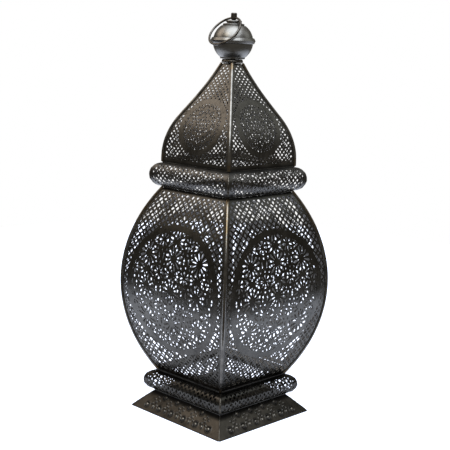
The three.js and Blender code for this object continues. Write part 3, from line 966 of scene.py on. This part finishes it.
def corner_rod(name, profile, corner, steps, seed, brazing_and_highlight):
    """A round rod up a corner. The brass at its ends, brazing and on the body's rods a painted highlight at the
    top, fades out over as much again.
    """
    levels = np.linspace(profile.t[0], profile.t[-1], steps)
    reach = profile.apothem(levels) * math.sqrt(2) + ROD_PROUD - ROD
    centres, ups = up_corner(reach, profile.height(levels), corner)
    foot, top = levels[0], levels[-1]
    stops = [foot + brazing_and_highlight[0], foot + 2 * brazing_and_highlight[0], top - 2 * brazing_and_highlight[1], top - brazing_and_highlight[1]]
    # Brass colour at the ends: brazing, and on the body's rods a painted highlight over the top.
    brass_and_highlight = np.interp(levels, stops, [1, 0, 0, 1])
    return tube(name, centres, ROD * uneven(levels, 0.035, 7, seed), 20, ups, wear_and_painted_light=brass_and_highlight)


def solder_seam(name, profile, corner, ends, size, seed):
    """A run of solder over the mitre between two sides, between two levels of t."""
    radius, sunk = size
    levels = np.linspace(*ends, 60)
    out, _, up = profile.normals(levels, 90.0).T
    reach = (profile.apothem(levels) - sunk * out) * math.sqrt(2)
    centres, ups = up_corner(reach, profile.height(levels) - sunk * up, corner)
    taper = np.sin(np.linspace(0.12, 0.88, len(levels)) * math.pi) ** 0.4
    seam = tube(name, centres, radius * uneven(levels, 0.3, 3.5, seed) * taper, 12, ups)
    finish_piece(seam, "lantern", "solder")


for seed, corner in enumerate(CORNERS):
    rod = corner_rod(f"round_body_rod_{corner}", BODY, corner, 140, seed, BODY_BRASS_AND_HIGHLIGHT)
    finish_piece(rod, "lantern", "rod", f"body_rod_{corner}")
    rod = corner_rod(f"round_dome_rod_{corner}", DOME, corner, 100, seed + 10, DOME_BRAZING)
    finish_piece(rod, "lantern", "rod", f"dome_rod_{corner}")

for seed, corner in enumerate(CORNERS):
    for level in ("lower", "upper"):
        profile = ring_profile(f"{level}_ring_front")
        ends = (RING_SEAM_END, profile.t[-1] - RING_SEAM_END)
        solder_seam(f"solder_{level}_ring_{corner}", profile, corner, ends, RING_SOLDER, seed + 20)
    solder_seam(f"solder_skirt_{corner}", SKIRT, corner, SKIRT_SEAM, SKIRT_SOLDER, seed + 30)

# ---- finial ----

STUD_HOLE = 2.6  # radius of the hole for the stud in every piece
BALL_RADIUS, BALL_RISE = 27.4, 26.5  # half the ball's width, and half its height
BALL_WOBBLE = 0.0006
EYE = 1.8  # radius of the hole in the stud's head
loop_joint = next(j for j in frame["joints"] if j["child"] == "carrying_loop")
EYE_HEIGHT = loop_joint["pos_m"][2] / MM


def rounded(outline, radius, steps=3):
    """A closed (radius, z) outline with each corner off the axis rounded."""
    result = []
    for before, at, after in zip(outline[-1:] + outline[:-1], outline, outline[1:] + outline[:1]):
        to_before, to_after = np.subtract(before, at), np.subtract(after, at)
        lengths = np.linalg.norm(to_before), np.linalg.norm(to_after)
        if at[0] < 1e-6 or min(lengths) < 1e-6:
            result.append(tuple(at))
            continue
        cut = min(radius, 0.4 * min(lengths))
        start, end = at + to_before / lengths[0] * cut, at + to_after / lengths[1] * cut
        for k in range(steps + 1):
            f = k / steps
            result.append(tuple((1 - f) ** 2 * start + 2 * f * (1 - f) * np.array(at) + f**2 * end))
    return result


def drilled(piece, radius, z):
    """Cuts a hole along X through a piece."""
    drill = lathe("drill", [(0, -12), (radius, -12), (radius, 12), (0, 12)], 32)
    turned = Matrix.Rotation(math.pi / 2, 4, "Y")
    drill.data.transform(Matrix.Translation((0, 0, z * MM)) @ turned)
    cut = piece.modifiers.new("eye", "BOOLEAN")
    cut.operation, cut.solver, cut.object = "DIFFERENCE", "EXACT", drill
    bpy.context.view_layer.update()
    shown = piece.evaluated_get(bpy.context.evaluated_depsgraph_get())
    piece.data = bpy.data.meshes.new_from_object(shown)
    piece.modifiers.clear()
    bpy.data.objects.remove(drill)
    piece.data.set_sharp_from_angle(angle=math.radians(40))
    return piece


def ball_arc(centre, z0, z1, scale=1.0):
    """The ball's outline between two heights, drawn in by a scale."""
    angles = [math.asin((z - centre) / BALL_RISE) for z in (z0, z1)]
    return arc(0, centre, BALL_RADIUS * scale, BALL_RISE * scale, *angles, 36)


def ball_shells():
    """The ball's two shells. The lower one has a flat foot with a short upright wall."""
    low, high = heights_of("ball_lower_shell")
    centre, lip = low + 23.1, low + 2.4
    inside = 1 - SHEET / BALL_RADIUS
    lower = [(STUD_HOLE, low), (16.2, low), (16.9, low + 0.7), (16.9, lip - 0.7),
             *ball_arc(centre, lip, high), *ball_arc(centre, lip + 0.3, high, inside)[::-1],
             (15.0, low + SHEET), (STUD_HOLE, low + SHEET)]
    shell = lathe("spun_ball_lower", lower, 128, BALL_WOBBLE)
    finish_piece(shell, "lantern", "spun", "ball_lower_shell")

    low, high = heights_of("ball_upper_shell")
    upper = [*ball_arc(centre, low, high), (STUD_HOLE, high), (STUD_HOLE, high - SHEET),
             *ball_arc(centre, low, high - SHEET, inside)[::-1]]
    shell = lathe("spun_ball_upper", upper, 128, BALL_WOBBLE)
    finish_piece(shell, "lantern", "spun", "ball_upper_shell")


def bead():
    """The rib round the ball's middle, between its shells."""
    low, high = heights_of("ball_bead")
    middle, rib, hidden = (low + high) / 2, BALL_RADIUS + 0.6, 26.0
    outline = [(hidden, low), (rib, low), (rib + 0.9, low + 0.5), (rib + 2.3, middle - 0.5),
               (rib + 2.6, middle), (rib + 2.3, middle + 0.5), (rib + 0.9, high - 0.5),
               (rib, high), (hidden, high)]
    finish_piece(lathe("spun_bead", rounded(outline, 0.35), 128), "lantern", "spun", "ball_bead")


def collar():
    """The ring that the ball stands on."""
    low, high = heights_of("neck_collar")
    outline = [(13.4, low), (14.6, low), (14.6, low + 1.6), (13.6, high), (STUD_HOLE, high),
               (STUD_HOLE, high - SHEET), (12.7, high - SHEET)]
    finish_piece(lathe("spun_collar", rounded(outline, 0.3)), "lantern", "fastener", "neck_collar")


def caps():
    """Two discs on top of the ball, the upper one flared above a narrow foot."""
    low, _ = heights_of("cap_large")
    outline = [(STUD_HOLE, low), (14.2, low), (14.9, low + 0.8), (14.9, low + 1.5),
               (14.0, low + 2.2), (10.5, low + 2.8), (STUD_HOLE, low + 2.8)]
    finish_piece(lathe("spun_cap_large", rounded(outline, 0.4)), "lantern", "spun", "cap_large")

    low, high = heights_of("cap_small")
    outline = [(STUD_HOLE, low), (9.6, low), (9.3, low + 1.2), (10.9, low + 1.7),
               (11.2, low + 2.4), (10.8, low + 3.2), (4.5, high), (STUD_HOLE, high)]
    finish_piece(lathe("spun_cap_small", rounded(outline, 0.4)), "lantern", "spun", "cap_small")


def stud():
    """The stud through the finial, with an eye in its thicker head."""
    low, top = heights_of("finial_stud")
    head = top - 7.8
    outline = [(0, low), (2.2, low), (2.2, head - 1.6), (3.3, head - 1.6), (3.3, head),
               (4.1, head + 0.5), (4.1, top - 0.9), (3.2, top), (0, top)]
    piece = drilled(lathe("eyed_stud", rounded(outline, 0.25), 48), EYE, EYE_HEIGHT)
    finish_piece(piece, "lantern", "fastener", "finial_stud")


ball_shells()
bead()
collar()
caps()
stud()

# ---- carrying loop ----

loop_low, loop_high = box_mm("carrying_loop")
WIRE = 1.5  # radius of the loop's wire
LOOP_RADIUS = (loop_high[0] - loop_low[0]) / 2 - WIRE
LOOP_LEAN = math.radians(48)  # how steeply it hangs down from the eye


def carrying_loop():
    """The loop's wire, a closed ring whose top passes through the stud's eye."""
    turns = np.linspace(0, 2 * math.pi, 180, endpoint=False)
    out, across = LOOP_RADIUS * (1 - np.cos(turns)), LOOP_RADIUS * np.sin(turns)
    y, z = -out * math.cos(LOOP_LEAN), EYE_HEIGHT - out * math.sin(LOOP_LEAN)
    ups = np.tile([0.0, -math.sin(LOOP_LEAN), math.cos(LOOP_LEAN)], (len(turns), 1))
    drift = [1 + 0.04 * noise.noise((4 * math.cos(u), 4 * math.sin(u), 5)) for u in turns]
    centres = np.stack([across, y, z], -1)
    return tube("wire_loop", centres, WIRE * np.array(drift), 16, ups, closed=True)


finish_piece(carrying_loop(), "carrying_loop", "wire", "carrying_loop")

# ---- CAD nodes ----

LOOKS = {"inner_sheet": "inner", "fastener": "fastener", "spun_finial": "spun",
         "etched_sheet": "etched", "stamped_base": "base", "corner_rod": "rod", "loop_wire": "wire"}
slot_of = {s["node"]: s["material_slot"] for s in frame["record"]["subparts"]}
for node, made in frame["nodes"].items():
    for material_slot in made.material_slots:
        material_slot.material = MATERIALS[LOOKS[slot_of[node]]]

# ---- studio: from here on lengths are in metres ----

FLOOR_RADIUS = 0.91
FLOOR_BEHIND = 0.47  # how far the floor's middle lies behind the lantern, along X and along Y
GLOW_REACH = (0.14, 0.42)  # distances from the lantern's middle
GLOW = (0.45, 1.55)  # strength of the floor's glow at those two distances


def floor_material():
    """A pale floor that glows, less near the lantern as a painted shadow, except where the camera looks at it."""
    n = Nodes("studio_floor")
    n.shader.inputs["Base Color"].default_value = (0.5, 0.5, 0.53, 1)
    n.shader.inputs["Roughness"].default_value = 0.8
    n.shader.inputs["Specular IOR Level"].default_value = 0.1
    n.shader.inputs["Emission Color"].default_value = (0.75, 0.83, 1.0, 1)
    where = n.add("ShaderNodeTexCoord").outputs["Object"]
    away = n.add("ShaderNodeVectorMath", {0: where}, operation="LENGTH").outputs["Value"]
    seen = n.add("ShaderNodeLightPath").outputs["Is Camera Ray"]
    away = n.add("ShaderNodeMath", {0: away, 1: seen}, operation="MAXIMUM").outputs[0]
    # The weaker glow near the lantern is a painted shadow, seen in reflections.
    n.feed(n.shader.inputs["Emission Strength"], n.ramp(away, *GLOW_REACH, *GLOW))
    return n.material


def studio_floor():
    """A round floor just under the foot."""
    corners, z = 96, -0.0002
    mesh = bpy.data.meshes.new("studio_floor")
    rim = [polar(FLOOR_RADIUS, 2 * math.pi * i / corners, -FLOOR_BEHIND, FLOOR_BEHIND)
           for i in range(corners)]
    mesh.from_pydata([(x, y, z) for x, y in rim], [], [list(range(corners))])
    mesh.materials.append(floor_material())
    floor = bpy.data.objects.new("studio_floor", mesh)
    bpy.context.scene.collection.objects.link(floor)


def softbox(name, width, radiance, place, aim, colour):
    """A round lamp as bright all over as a wall of that radiance."""
    light = bpy.data.lights.new(name, "AREA")
    light.shape, light.size, light.color = "DISK", width, colour
    light.energy = radiance * math.pi * math.pi * width**2 / 4
    lamp = bpy.data.objects.new(name, light)
    lamp.visible_camera = False
    bpy.context.scene.collection.objects.link(lamp)
    turn = (Vector(place) - Vector(aim)).to_track_quat("Z", "Y").to_matrix().to_4x4()
    lamp.matrix_world = Matrix.Translation(place) @ turn


def studio_world():
    """White to the camera, and a dim warm light to everything else."""
    world = bpy.data.worlds.new("studio_world")
    bpy.context.scene.world = world
    world.use_nodes = True
    nodes, links = world.node_tree.nodes, world.node_tree.links
    ambient, shown = nodes["Background"], nodes.new("ShaderNodeBackground")
    ambient.inputs["Color"].default_value = (1.0, 0.92, 0.78, 1)
    ambient.inputs["Strength"].default_value = 0.2
    shown.inputs["Color"].default_value = (1, 1, 1, 1)
    shown.inputs["Strength"].default_value = 1.0
    pick = nodes.new("ShaderNodeMixShader")
    links.new(nodes.new("ShaderNodeLightPath").outputs["Is Camera Ray"], pick.inputs[0])
    links.new(ambient.outputs[0], pick.inputs[1])
    links.new(shown.outputs[0], pick.inputs[2])
    links.new(pick.outputs[0], nodes["World Output"].inputs[0])
    bpy.context.scene.view_settings.view_transform = "Standard"


def camera():
    """Almost level with the finial, looking at the corner between the front and the right side."""
    distance, height, turn = 1.3639, 0.5105, math.radians(44.56)
    aside, down, roll = 0.0013, 0.17535, 0.03674  # radians
    made = bpy.data.objects.new("camera", bpy.data.cameras.new("camera"))
    made.data.lens, made.data.sensor_width = 79.17, 36.0
    made.data.clip_start, made.data.clip_end = 0.05, 20
    at = Matrix.Translation((distance * math.sin(turn), -distance * math.cos(turn), height))
    heading = Matrix.Rotation(turn + aside, 4, "Z") @ Matrix.Rotation(math.pi / 2 - down, 4, "X")
    made.matrix_world = at @ heading @ Matrix.Rotation(roll, 4, "Z")
    bpy.context.scene.collection.objects.link(made)
    bpy.context.scene.camera = made


studio_floor()
softbox("key", 1.9, 4.2, (0.5, -0.51, 1.75), (0, 0, 0.45), (0.86, 0.93, 1.0))
softbox("ceiling", 2.4, 1.0, (0, 0, 2.0), (0, 0, 0), (0.96, 0.98, 1.0))
softbox("left_wall", 0.6, 2.2, (-0.55, -0.36, 1.02), (0, 0, 0.4), (1.0, 0.86, 0.72))
softbox("right_wall", 0.6, 0.75, (0.48, 0.63, 0.93), (0, 0, 0.43), (0.94, 1.0, 0.97))
softbox("left_fill", 0.9, 0.5, (-1.2, -1.0, 1.15), (0, 0, 0.3), (1.0, 0.84, 0.66))
softbox("front_fill", 0.5, 3.6, (0.02, -0.9, 1.33), (0, 0, 0.53), (1.0, 0.83, 0.58))
studio_world()
camera()
